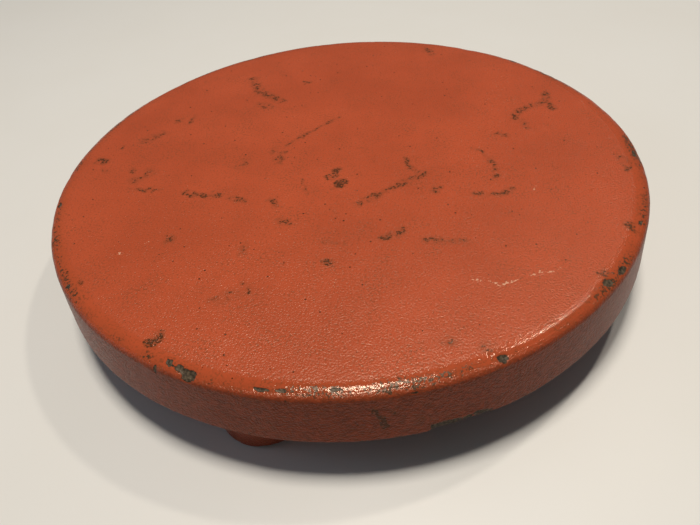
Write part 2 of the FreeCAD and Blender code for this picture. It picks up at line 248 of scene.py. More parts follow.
@dataclass
class Shell:
    """A closed surface as a grid of places: its columns wrap round.

    The first and last rows are poles, unless the rows wrap round too, as on a ring.
    """

    grid: Array
    rows_wrap: bool = False
    attributes: Mapping[str, Array] = field(default_factory=dict)

    def flatten(self, values: Array) -> Array:
        """Puts values of the grid in the mesh's order: a pole's row becomes one vertex, its mean.

        Args:
            values: one value or place for each row and column.

        Returns:
            The values, one row for each vertex.
        """
        values = values.reshape(*values.shape[:2], -1)
        if self.rows_wrap:
            return values.reshape(-1, values.shape[-1])
        middle = values[1:-1].reshape(-1, values.shape[-1])
        return np.concatenate([values[:1].mean(1), middle, values[-1:].mean(1)])

    def faces(self) -> list[list[int]]:
        """Quads between neighbouring rows and columns, and fans of triangles at the poles.

        Returns:
            Each face's vertices, anticlockwise seen from outside.
        """
        rows, columns = self.grid.shape[:2]
        first = 0 if self.rows_wrap else 1
        rings = rows if self.rows_wrap else rows - 2
        index = first + np.arange(rings * columns).reshape(rings, columns)
        beside = np.roll(index, -1, 1)
        if self.rows_wrap:
            below, below_beside = np.roll(index, -1, 0), np.roll(beside, -1, 0)
            return np.stack([index, below, below_beside, beside], -1).reshape(-1, 4).tolist()
        quads = np.stack([index[:-1], index[1:], beside[1:], beside[:-1]], -1).reshape(-1, 4)
        start = np.zeros(columns, int)
        finish = start + 1 + rings * columns
        fans = np.concatenate([
            np.stack([start, index[0], beside[0]], -1),
            np.stack([finish, beside[-1], index[-1]], -1),
        ])
        return quads.tolist() + fans.tolist()


def outward_of(grid: Array) -> Array:
    """Directions out of a surface: the cross product of the way down its rows and along its columns.

    Args:
        grid: places, with columns that wrap round.

    Returns:
        A unit vector for each place.
    """
    down = np.gradient(grid, axis=0)
    along = np.roll(grid, -1, 1) - np.roll(grid, 1, 1)
    out = np.cross(down, along)
    return out / np.linalg.norm(out, axis=-1, keepdims=True).clip(1e-9)


def make_piece(name: str, shells: Sequence[Shell], sharp_angle: float = 40.0) -> bpy.types.Object:
    """Makes one object of closed shells, smooth but for edges that turn by more than an angle.

    Args:
        name: the object's name.
        shells: surfaces in millimetres.
        sharp_angle: turn across an edge past which it stays crisp.

    Returns:
        The object, at the origin, with its place in its mesh.
    """
    places, faces, named = [], [], {}
    offset = 0
    for shell in shells:
        flat = shell.flatten(shell.grid)
        faces += [[vertex + offset for vertex in face] for face in shell.faces()]
        places.append(flat)
        offset += len(flat)
        for key, values in shell.attributes.items():
            named.setdefault(key, []).append(shell.flatten(values)[:, 0])
    mesh = bpy.data.meshes.new(name)
    mesh.from_pydata((np.concatenate(places) * MM).tolist(), [], faces)
    mesh.polygons.foreach_set("use_smooth", np.ones(len(mesh.polygons), bool))
    for key, values in named.items():
        layer = mesh.attributes.new(key, "FLOAT", "POINT")
        layer.data.foreach_set("value", np.concatenate(values).astype(np.float32))
    mesh.set_sharp_from_angle(angle=math.radians(sharp_angle))
    mesh.validate()
    piece = bpy.data.objects.new(name, mesh)
    bpy.context.scene.collection.objects.link(piece)
    return piece


# ---------------------------------------------------------------- finishes
def linear(hex_code: str) -> tuple[float, float, float, float]:
    """Turns a colour to linear light by the sRGB curve.

    Args:
        hex_code: the colour as sRGB hex.

    Returns:
        Red, green, blue and a full alpha.
    """
    srgb = np.array([int(hex_code[i:i + 2], 16) for i in (1, 3, 5)]) / 255
    light = np.where(srgb <= 0.04045, srgb / 12.92, ((srgb + 0.055) / 1.055) ** 2.4)
    return (*light.tolist(), 1.0)


def add(tree: bpy.types.NodeTree, kind: str, inputs: Mapping | None = None, output: int | str = 0,
        **settings) -> Socket | None:
    """Adds a shader node with its settings, values and links.

    Args:
        tree: the node tree.
        kind: the node's type, without its leading ShaderNode.
        inputs: an input's name or number, with the value or the output socket that it takes.
        output: the name or number of the output that is wanted.
        settings: the node's own settings.

    Returns:
        That output, or nothing where the node has none.
    """
    node = tree.nodes.new(f"ShaderNode{kind}")
    for name, value in settings.items():
        setattr(node, name, value)
    for name, value in (inputs or {}).items():
        if isinstance(value, Socket):
            tree.links.new(value, node.inputs[name])
        else:
            node.inputs[name].default_value = value
    return node.outputs[output] if node.outputs else None


def start_material(name: str) -> tuple[bpy.types.Material, bpy.types.NodeTree, Socket]:
    """A material with an empty tree and the piece's own places in millimetres.

    Args:
        name: the finish's name.

    Returns:
        The material, its node tree and a vector socket in millimetres.
    """
    material = bpy.data.materials.new(name)
    material.use_nodes = True
    tree = material.node_tree
    tree.nodes.clear()
    own = add(tree, "TexCoord", output="Object")
    return material, tree, add(tree, "VectorMath", {0: own, "Scale": 1 / MM}, operation="SCALE")


def finish_material(tree: bpy.types.NodeTree, inputs: Mapping) -> None:
    """Ends a tree with one principled surface that takes these inputs."""
    add(tree, "OutputMaterial", {"Surface": add(tree, "BsdfPrincipled", inputs)})


@dataclass(frozen=True)
class Mark:
    """A mark in the enamel: straight strokes through (x, y, z) places, its width and how strong it is."""

    path: tuple[tuple[float, ...], ...]
    width: float
    weight: float


WORKING_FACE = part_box("wheel_head")[1].z / MM
SKIRT_RADIUS = 126.0            # of the marks on the skirt


def on_top(width: float, weight: float, *path: tuple[float, float]) -> Mark:
    """A mark on the working face, through (x, y) places."""
    return Mark(tuple((x, y, WORKING_FACE) for x, y in path), width, weight)


def on_side(width: float, weight: float, *path: tuple[float, float]) -> Mark:
    """A mark on the skirt, through (bearing, height) places."""
    turned = [(math.radians(bearing), height) for bearing, height in path]
    return Mark(tuple((SKIRT_RADIUS * math.cos(b), SKIRT_RADIUS * math.sin(b), z) for b, z in turned),
                width, weight)


# Marks on the working face and the skirt: width, weight, then the places that a stroke runs through.
TOP_SCUFFS = (
    (3.4, 2.8, (4.6, -22.0), (5.0, -18.5)),
    (3.0, 1.5, (-1.0, -17.0), (0.6, -11.0)),
    (2.8, 0.95, (15.5, -32.5), (21.5, -25.0), (31.0, -14.0), (36.5, -6.5)),
    (3.2, 1.25, (21.0, -25.5), (19.5, -28.5)),
    (3.0, 1.4, (35.5, -8.5), (37.0, -6.0)),
    (2.2, 0.95, (27.0, 3.0), (30.0, -2.5), (33.0, -5.0)),
    (2.8, 0.85, (45.0, -13.5), (44.0, -18.0)),
    (2.1, 0.95, (54.0, 16.0), (57.5, 15.5), (63.5, 7.0), (65.5, 0.0), (66.5, -4.5)),
    (2.5, 0.95, (59.5, -16.5), (70.0, -14.0), (73.5, -10.5)),
    (3.0, 0.95, (81.5, 71.0), (81.5, 61.0), (76.0, 57.0), (70.0, 51.0), (68.5, 42.5)),
    (2.8, 1.3, (83.5, 60.5), (85.0, 56.0)),
    (2.8, 1.2, (71.0, 51.5), (69.5, 49.0)),
    (2.5, 0.9, (75.5, 37.0), (73.0, 42.0)),
    (2.8, 0.85, (62.5, 30.0), (66.5, 29.0)),
    (4.0, 0.9, (-72.0, 64.0), (-66.5, 56.5), (-62.0, 50.5), (-55.0, 47.0), (-46.5, 42.5)),
    (3.0, 1.15, (-60.0, 49.5), (-55.0, 46.5)),
    (3.5, 0.9, (-57.0, 37.5), (-50.5, 36.0)),
    (2.5, 1.15, (-41.5, 64.5), (-39.5, 64.0)),
    (3.0, 1.0, (-91.5, 15.0), (-90.0, 16.0)),
    (2.2, 0.9, (-85.5, 21.0), (-84.0, 14.0)),
    (3.5, 1.25, (-110.5, -24.0), (-108.0, -25.0)),
    (2.2, 0.9, (-106.5, -11.5), (-106.0, -13.0)),
    (2.8, 1.0, (-91.0, -28.0), (-90.0, -29.0)),
    (2.2, 0.85, (-104.0, -30.5), (-102.0, -31.5)),
    (2.1, 0.85, (-84.0, -42.0), (-75.5, -40.0), (-70.0, -39.0)),
    (2.8, 1.35, (-76.0, -40.8), (-73.5, -40.0)),
    (2.5, 1.15, (-58.0, -39.0), (-48.5, -39.6)),
    (2.4, 1.1, (-45.0, -37.5), (-42.0, -38.2)),
    (2.5, 0.8, (-37.0, -38.5), (-30.0, -39.5)),
    (3.0, 0.75, (-28.0, -2.0), (-26.5, -11.0)),
    (3.2, 0.8, (-19.0, -36.5), (-16.0, -39.0)),
    (2.2, 0.8, (-12.0, -48.0), (-7.0, -49.5)),
    (3.2, 0.8, (-49.5, -66.5), (-48.0, -69.0)),
    (2.5, 0.75, (-19.0, -64.0), (-18.0, -69.0)),
    (2.2, 0.85, (-10.5, -83.5), (-7.0, -86.5)),
    (2.8, 1.05, (30.0, -49.8), (36.0, -46.0), (36.5, -44.0)),
    (2.5, 1.25, (30.5, -49.5), (33.0, -48.5)),
    (2.8, 1.5, (13.5, -66.0), (15.5, -67.0)),
    (2.0, 0.8, (10.0, -56.5), (17.0, -55.5)),
    (2.8, 0.78, (46.0, -47.5), (54.0, -46.0), (61.0, -45.5)),
    (1.5, 0.6, (-12.0, -20.0), (-6.0, -31.0)),
    (2.0, 1.1, (-70.5, -95.5), (-69.5, -96.2)),
    (2.6, 3.0, (-29.0, -115.2), (-27.8, -110.8)),
    (1.8, 0.72, (-28.2, 4.7), (-21.0, 17.4), (-12.0, 32.9)),
    (4.0, 0.7, (-43.8, -16.3), (-41.5, -12.7)),
    (3.4, 0.7, (-32.7, -1.3), (-27.2, -10.0)),
    (5.0, 0.62, (-92.5, 2.3), (-97.6, -4.1)),
    (5.0, 0.62, (-84.9, -34.9), (-81.5, -28.1)),
    (4.0, 0.62, (-17.0, -92.7), (-8.8, -86.0)),
    (2.8, 0.85, (73.0, -91.0), (75.0, -91.5)),
    (2.8, 0.8, (61.5, -91.5), (63.5, -92.0)),
    (2.8, 1.0, (115.0, 20.0), (117.0, 11.0)),
    (3.0, 1.1, (115.5, -24.0), (118.0, -27.0)),
    (3.5, 1.2, (107.5, -52.5), (109.0, -58.0)),
    (4.5, 0.8, (15.0, 113.0), (18.0, 108.0)),
)
SIDE_SCUFFS = (
    (1.3, 7.0, (290.6, 36.5), (291.5, 31.0), (292.6, 24.5)),
    (2.0, 0.9, (293.2, 31.2), (293.8, 30.6)),
    (2.0, 0.9, (297.0, 26.5), (297.5, 25.8)),
)
RUBBED_PALE = (
    (1.1, 1.15, (66.0, -63.8), (74.0, -64.4), (80.1, -60.7), (86.9, -55.7), (93.2, -52.9)),
    (1.2, 1.3, (81.8, -7.6), (82.2, -9.2)),
    (1.6, 0.8, (-63.5, -79.0), (-66.0, -81.0)),
    (1.5, 0.7, (-56.5, -70.5), (-58.0, -72.0)),
)
SCUFFS = tuple(on_top(*mark) for mark in TOP_SCUFFS) + tuple(on_side(*mark) for mark in SIDE_SCUFFS)
PALE_MARKS = tuple(on_top(*mark) for mark in RUBBED_PALE)


@dataclass(frozen=True)
class Ramp:
    """How a pattern's value is stretched: low to high becomes start to end, and it stays level outside."""

    low: float = 0.0
    high: float = 1.0
    start: float = 0.0
    end: float = 1.0

    def of(self, value: Socket) -> dict[str, Socket | float]:
        """What a map-range node takes to stretch a value this way."""
        return {"Value": value, "From Min": self.low, "From Max": self.high,
                "To Min": self.start, "To Max": self.end}


@dataclass(frozen=True)
class Enamel:
    """Machinery enamel, brushed over an unmachined grey-iron sand casting.

    The eye sees an orange-red gloss that follows the sand's grain as a fine orange peel, with dirt in its
    pinholes, dark scuffs where the paint is rubbed thin, and grey-green iron where it has chipped off.
    """

    name: str = "brushed_enamel_on_cast_iron"
    paint: str = "#C05533"
    deep_paint: str = "#B44E2D"
    # darker paint for the skirt and underside: partly dirt, partly painted shade where little light falls
    dirty_and_shaded_paint: str = "#74331F"
    rubbed: str = "#D9A184"
    stain: str = "#7F4528"
    grime: str = "#552D15"
    worn: str = "#523724"
    iron: str = "#5F5140"
    dark_iron: str = "#332A20"
    gloss_tint: str = "#FFEAD6"
    grain: float = 0.7              # sand grain under the paint
    peel_depth: float = 0.27
    lump: float = 6.0
    lump_depth: float = 0.12
    drift: float = 40.0             # broad changes of colour
    streak_length: float = 1.8      # brush and mould marks round the skirt
    streak_height: float = 1.0
    streak_depth: float = 0.16
    speck_spacing: float = 3.4      # pinholes
    speck_radius: float = 0.48
    pit_depth: float = 0.15         # how deep a pinhole or a chip looks
    fleck: float = 0.95             # flecks that a scuff breaks up into
    patch: float = 2.7              # patches where a scuff presses harder
    dirt: float = 11.0              # patches where dirt has caught in the grain
    bend: float = 3.0               # a scuff wanders this often
    bend_reach: float = 4.0         # and this far from side to side
    roughness: float = 0.27
    dull_roughness: float = 0.32
    edge_roughness: float = 0.11
    iron_roughness: float = 0.42
    ior: float = 1.5
    edge_gloss_loss: float = 0.14   # how much less a thick edge of paint reflects
    side_coarseness: float = 0.9    # how much deeper the peel is on the skirt
    edge_smoothness: float = 0.7    # how much of the peel a thick edge of paint hides
    speckle: Ramp = Ramp(0.40, 0.60, 0.0, 1.4)
    pressing: Ramp = Ramp(0.36, 0.62, 0.3, 1.35)
    scuff_edge: Ramp = Ramp(0.44, 0.95)
    pale_edge: Ramp = Ramp(0.50, 0.80)
    wear_edge: Ramp = Ramp(0.36, 0.60)
    smudge: Ramp = Ramp(high=0.9, end=0.62)
    dirt_edge: Ramp = Ramp(0.46, 0.68)
    dirt_dots: Ramp = Ramp(0.52, 0.64, end=0.6)
    chip_edge: Ramp = Ramp(0.62, 0.76)
    # darker in the low parts of the grain
    grain_trough_darkening: Ramp = Ramp(0.46, 0.30, end=0.6)
    cloud_edge: Ramp = Ramp(0.35, 0.65)
    rust: Ramp = Ramp(0.35, 0.60)
    # how much the skirt's paint is darkened along its streaks, most in their troughs: partly dirt, partly
    # painted shade
    side_dirt_and_shade: Ramp = Ramp(0.38, 0.64, 1.0, 0.6)
    gloss: Ramp = Ramp(start=0.45, end=0.12)
    scuffs: tuple[Mark, ...] = ()
    pale_marks: tuple[Mark, ...] = ()

    def strokes(self, tree: bpy.types.NodeTree, place: Socket, marks: Sequence[Mark]) -> Socket | float:
        """The strongest mark at a place: a stroke's weight, falling to nothing one width from its line.

        The distance to a stroke is that to the nearest point of its line, which is its start plus the
        stroke times the share of it that lies level with the place, held between 0 and 1.

        Args:
            tree: the node tree.
            place: a vector socket in millimetres.
            marks: the marks.

        Returns:
            A value socket, or 0 where there is no mark.
        """
        strongest = 0.0
        for mark in marks:
            for start, end in itertools.pairwise(mark.path):
                line = Vector(end) - Vector(start)
                away = add(tree, "VectorMath", {0: place, 1: start}, operation="SUBTRACT")
                level = add(tree, "VectorMath", {0: away, 1: line / line.length_squared}, "Value",
                            operation="DOT_PRODUCT")
                share = add(tree, "Clamp", {0: level})
                nearest = add(tree, "VectorMath", {0: line, "Scale": share}, operation="SCALE")
                gap = add(tree, "VectorMath", {0: away, 1: nearest}, "Value", operation="DISTANCE")
                here = add(tree, "Math", {0: gap, 1: -mark.weight / mark.width, 2: mark.weight},
                           operation="MULTIPLY_ADD")
                strongest = add(tree, "Math", {0: strongest, 1: here}, operation="MAXIMUM")
        return strongest

    def pinholes(self, tree: bpy.types.NodeTree, mm: Socket) -> Socket:
        """Round specks: one in most cells, where the distance to it is less than its cell's random radius.

        Args:
            tree: the node tree.
            mm: a vector socket in millimetres.

        Returns:
            A socket that is 1 in a speck.
        """
        cells = add(tree, "TexVoronoi", {"Vector": mm, "Scale": 1 / self.speck_spacing}).node.outputs
        chance = add(tree, "SeparateColor", {0: cells["Color"]})
        largest = self.speck_radius / self.speck_spacing
        radius = add(tree, "Math", {0: chance, 1: 1.5 * largest, 2: -0.5 * largest}, operation="MULTIPLY_ADD")
        inside = add(tree, "Math", {0: radius, 1: cells["Distance"]}, operation="SUBTRACT")
        return add(tree, "MapRange", Ramp(high=0.25 * largest).of(inside))

    def material(self) -> bpy.types.Material:
        """Makes the finish's material.

        Returns:
            The material. It reads the attributes wear, bare, side and fat from the mesh.
        """
        material, tree, mm = start_material(self.name)
        patterns = ((self.grain, 2.0), (self.lump, 1.0), (self.drift, 3.0), (self.fleck, 2.0),
                    (self.patch, 1.0), (self.dirt, 2.0))
        peel, lumps, drift, flecks, pressed, dirty = (
            add(tree, "TexNoise", {"Vector": mm, "Scale": 1 / size, "Detail": detail})
            for size, detail in patterns)
        flat = (1 / self.streak_length, 1 / self.streak_length, 1 / self.streak_height)
        squeezed = add(tree, "VectorMath", {0: mm, 1: flat}, operation="MULTIPLY")
        streaks = add(tree, "TexNoise", {"Vector": squeezed, "Scale": 1.0, "Detail": 3.0})
        wear, bare, side, fat = (add(tree, "Attribute", output="Fac", attribute_name=name)
                                 for name in ("wear", "bare", "side", "fat"))
        specks = self.pinholes(tree, mm)

        # Scuffs: strokes bent by noise and broken into flecks.
        bend = add(tree, "TexNoise", {"Vector": mm, "Scale": 1 / self.bend, "Detail": 1.0}, "Color")
        centred = add(tree, "VectorMath", {0: bend, 1: (0.5, 0.5, 0.5)}, operation="SUBTRACT")
        pushed = add(tree, "VectorMath", {0: centred, "Scale": self.bend_reach}, operation="SCALE")
        bent = add(tree, "VectorMath", {0: mm, 1: pushed}, operation="ADD")
        speckle = add(tree, "MapRange", self.speckle.of(flecks))
        harder = add(tree, "MapRange", self.pressing.of(pressed))
        strokes = self.strokes(tree, bent, self.scuffs)
        scuffing = add(tree, "Math", {0: strokes, 1: harder}, operation="MULTIPLY")
        paling = self.strokes(tree, bent, self.pale_marks)
        masks = []
        for strength, edge in ((scuffing, self.scuff_edge), (paling, self.pale_edge), (wear, self.wear_edge)):
            broken = add(tree, "Math", {0: strength, 1: speckle}, operation="MULTIPLY")
            masks.append(add(tree, "MapRange", edge.of(broken), interpolation_type="SMOOTHSTEP"))
        scuffed, pale, rubbed_off = masks
        soiling = add(tree, "Math", {0: wear, 1: scuffing}, operation="MAXIMUM")
        smudged = add(tree, "MapRange", self.smudge.of(soiling))
        dirtier = add(tree, "MapRange", self.dirt_edge.of(dirty))
        dotted = add(tree, "MapRange", self.dirt_dots.of(flecks))
        dots = add(tree, "Math", {0: dirtier, 1: dotted}, operation="MULTIPLY")
        ragged = add(tree, "Math", {0: flecks, 1: 0.5, 2: bare}, operation="MULTIPLY_ADD")
        chipped = add(tree, "MapRange", self.chip_edge.of(ragged))
        # Darker in the low parts of the grain, in the stain colour.
        darker_troughs = add(tree, "MapRange", self.grain_trough_darkening.of(peel))
        clouds = add(tree, "MapRange", self.cloud_edge.of(drift))
        rusty = add(tree, "MapRange", self.rust.of(flecks))
        # Skirt and underside: the paint is darkened, more in the troughs of the streaks, partly as dirt and
        # partly as painted shade.
        streaked_dirt_and_shade = add(tree, "MapRange", self.side_dirt_and_shade.of(streaks))
        dirt_and_painted_shade = add(tree, "Math", {0: streaked_dirt_and_shade, 1: side}, operation="MULTIPLY")

        # Colour: each layer covers the ones before it.
        metal = add(tree, "Mix", {0: rusty, 6: linear(self.iron), 7: linear(self.dark_iron)}, 2,
                    data_type="RGBA")
        stain, grime = linear(self.stain), linear(self.grime)
        colour = linear(self.paint)
        for mask, over in ((clouds, linear(self.deep_paint)), (dirt_and_painted_shade, linear(self.dirty_and_shaded_paint)),
                           (darker_troughs, stain), (dots, stain), (specks, grime), (pale, linear(self.rubbed)),
                           (smudged, stain), (scuffed, grime), (rubbed_off, linear(self.worn)),
                           (chipped, metal)):
            colour = add(tree, "Mix", {0: mask, 6: colour, 7: over}, 2, data_type="RGBA")

        dull = self.roughness
        for mask, over in ((clouds, self.dull_roughness), (dirt_and_painted_shade, self.dull_roughness),
                           (fat, self.edge_roughness), (scuffed, self.dull_roughness),
                           (rubbed_off, self.dull_roughness), (chipped, self.iron_roughness)):
            dull = add(tree, "Mix", {0: mask, 2: dull, 3: over})

        # Relief: the peel is deeper on the skirt and flatter on a thick edge of paint.
        coarser = add(tree, "Math", {0: side, 1: self.side_coarseness, 2: 1.0}, operation="MULTIPLY_ADD")
        level = add(tree, "Math", {0: fat, 1: -self.edge_smoothness, 2: coarser}, operation="MULTIPLY_ADD")
        grained = add(tree, "Math", {0: peel, 1: level}, operation="MULTIPLY")
        height = add(tree, "Math", {0: grained, 1: self.peel_depth}, operation="MULTIPLY")
        streaky = add(tree, "Math", {0: streaks, 1: side}, operation="MULTIPLY")
        for pattern, depth in ((lumps, self.lump_depth), (streaky, self.streak_depth),
                               (specks, -self.pit_depth), (chipped, -self.pit_depth)):
            height = add(tree, "Math", {0: pattern, 1: depth, 2: height}, operation="MULTIPLY_ADD")
        bump = add(tree, "Bump", {"Height": height, "Distance": MM})
        glint = add(tree, "MapRange", self.gloss.of(side))
        glint = add(tree, "Math", {0: fat, 1: -self.edge_gloss_loss, 2: glint}, operation="MULTIPLY_ADD")
        finish_material(tree, {"Base Color": colour, "Roughness": dull, "IOR": self.ior,
                               "Specular IOR Level": glint, "Specular Tint": linear(self.gloss_tint),
                               "Normal": bump})
        return material


class Lay(Enum):
    """Which way the fine marks of a worked metal run."""

    TURNED = "in rings round the turning axis"
    TUMBLED = "in no direction"


@dataclass(frozen=True)
class Metal:
    """A bare or plated metal: fine tool marks, an oily or dull film in patches, and roughness that varies."""

    name: str
    colour: str
    film: str
    roughness: float
    lay: Lay = Lay.TUMBLED
    pitch: float = 0.3          # spacing of the tool marks, drawn coarse enough to show
    depth: float = 0.02
    film_size: float = 5.0
    film_edge: Ramp = Ramp(0.42, 0.68)

    def material(self) -> bpy.types.Material:
        """Makes the finish's material.

        Returns:
            The material.
        """
        material, tree, mm = start_material(self.name)
        film = add(tree, "TexNoise", {"Vector": mm, "Scale": 1 / self.film_size, "Detail": 4.0})
        patches = add(tree, "MapRange", self.film_edge.of(film))
        place = mm
        if self.lay is Lay.TURNED:
            x, y, z = add(tree, "SeparateXYZ", {0: mm}).node.outputs
            plan = add(tree, "CombineXYZ", {0: x, 1: y})
            reach = add(tree, "VectorMath", {0: plan}, "Value", operation="LENGTH")
            place = add(tree, "CombineXYZ", {0: reach, 2: z})
        marks = add(tree, "TexNoise", {"Vector": place, "Scale": 1 / self.pitch, "Detail": 2.0})
        colour = add(tree, "Mix", {0: patches, 6: linear(self.colour), 7: linear(self.film)}, 2,
                     data_type="RGBA")
        spread = Ramp(start=0.8 * self.roughness, end=1.3 * self.roughness)
        dull = add(tree, "MapRange", spread.of(film))
        bump = add(tree, "Bump", {"Height": marks, "Distance": self.depth * MM})
        finish_material(tree, {"Base Color": colour, "Roughness": dull, "Metallic": 1.0, "Normal": bump})
        return material


@dataclass(frozen=True)
class Felt:
    """Pressed wool felt: matt matted fibres with a soft bloom at grazing angles, greyed by dust and slip."""

    name: str = "pressed_wool_felt"
    wool: str = "#85796A"
    dust: str = "#5B5248"
    fibre: float = 0.5
    fibre_depth: float = 0.25
    stain: float = 9.0
    roughness: float = 0.95
    sheen: float = 0.4

    def material(self) -> bpy.types.Material:
        """Makes the finish's material.

        Returns:
            The material.
        """
        material, tree, mm = start_material(self.name)
        fibres = add(tree, "TexNoise", {"Vector": mm, "Scale": 1 / self.fibre, "Detail": 4.0,
                                        "Distortion": 1.2})
        stains = add(tree, "TexNoise", {"Vector": mm, "Scale": 1 / self.stain, "Detail": 3.0})
        colour = add(tree, "Mix", {0: stains, 6: linear(self.wool), 7: linear(self.dust)}, 2,
                     data_type="RGBA")
        bump = add(tree, "Bump", {"Height": fibres, "Distance": self.fibre_depth * MM})
        finish_material(tree, {"Base Color": colour, "Roughness": self.roughness,
                               "Sheen Weight": self.sheen, "Normal": bump})
        return material


@dataclass(frozen=True)
class Rubber:
    """Moulded natural rubber: near black and matt, with a fine moulded grain and dust on what has rubbed."""

    name: str = "moulded_black_rubber"
    black: str = "#1E1D1C"
    dust: str = "#4A4641"
    grain: float = 0.6
    grain_depth: float = 0.06
    dust_patch: float = 6.0
    dust_edge: Ramp = Ramp(0.45, 0.75)
    roughness: float = 0.7

    def material(self) -> bpy.types.Material:
        """Makes the finish's material.

        Returns:
            The material.
        """
        material, tree, mm = start_material(self.name)
        grain = add(tree, "TexNoise", {"Vector": mm, "Scale": 1 / self.grain, "Detail": 3.0})
        dusty = add(tree, "TexNoise", {"Vector": mm, "Scale": 1 / self.dust_patch, "Detail": 4.0})
        patches = add(tree, "MapRange", self.dust_edge.of(dusty))
        colour = add(tree, "Mix", {0: patches, 6: linear(self.black), 7: linear(self.dust)}, 2,
                     data_type="RGBA")
        bump = add(tree, "Bump", {"Height": grain, "Distance": self.grain_depth * MM})
        finish_material(tree, {"Base Color": colour, "Roughness": self.roughness, "Normal": bump})
        return material


def dress(piece: bpy.types.Object, material: bpy.types.Material) -> None:
    """Gives a piece its only material.

    Args:
        piece: a new piece or a carried CAD node.
        material: its finish.
    """
    if piece.material_slots:
        for place in piece.material_slots:
            place.material = material
    else:
        piece.data.materials.append(material)


# ---------------------------------------------------------------- sub-assemblies
@dataclass(frozen=True)
class Chip:
    """A spot where the enamel and some iron have broken away: its place, its size each way and its depth."""

    bearing: float
    radius: float
    height: float
    along: float
    across: float
    depth: float


@dataclass(frozen=True)
class WornStretch:
    """A stretch of the working face's edge that is rubbed more than the rest."""

    bearing: float
    width: float
    amount: float


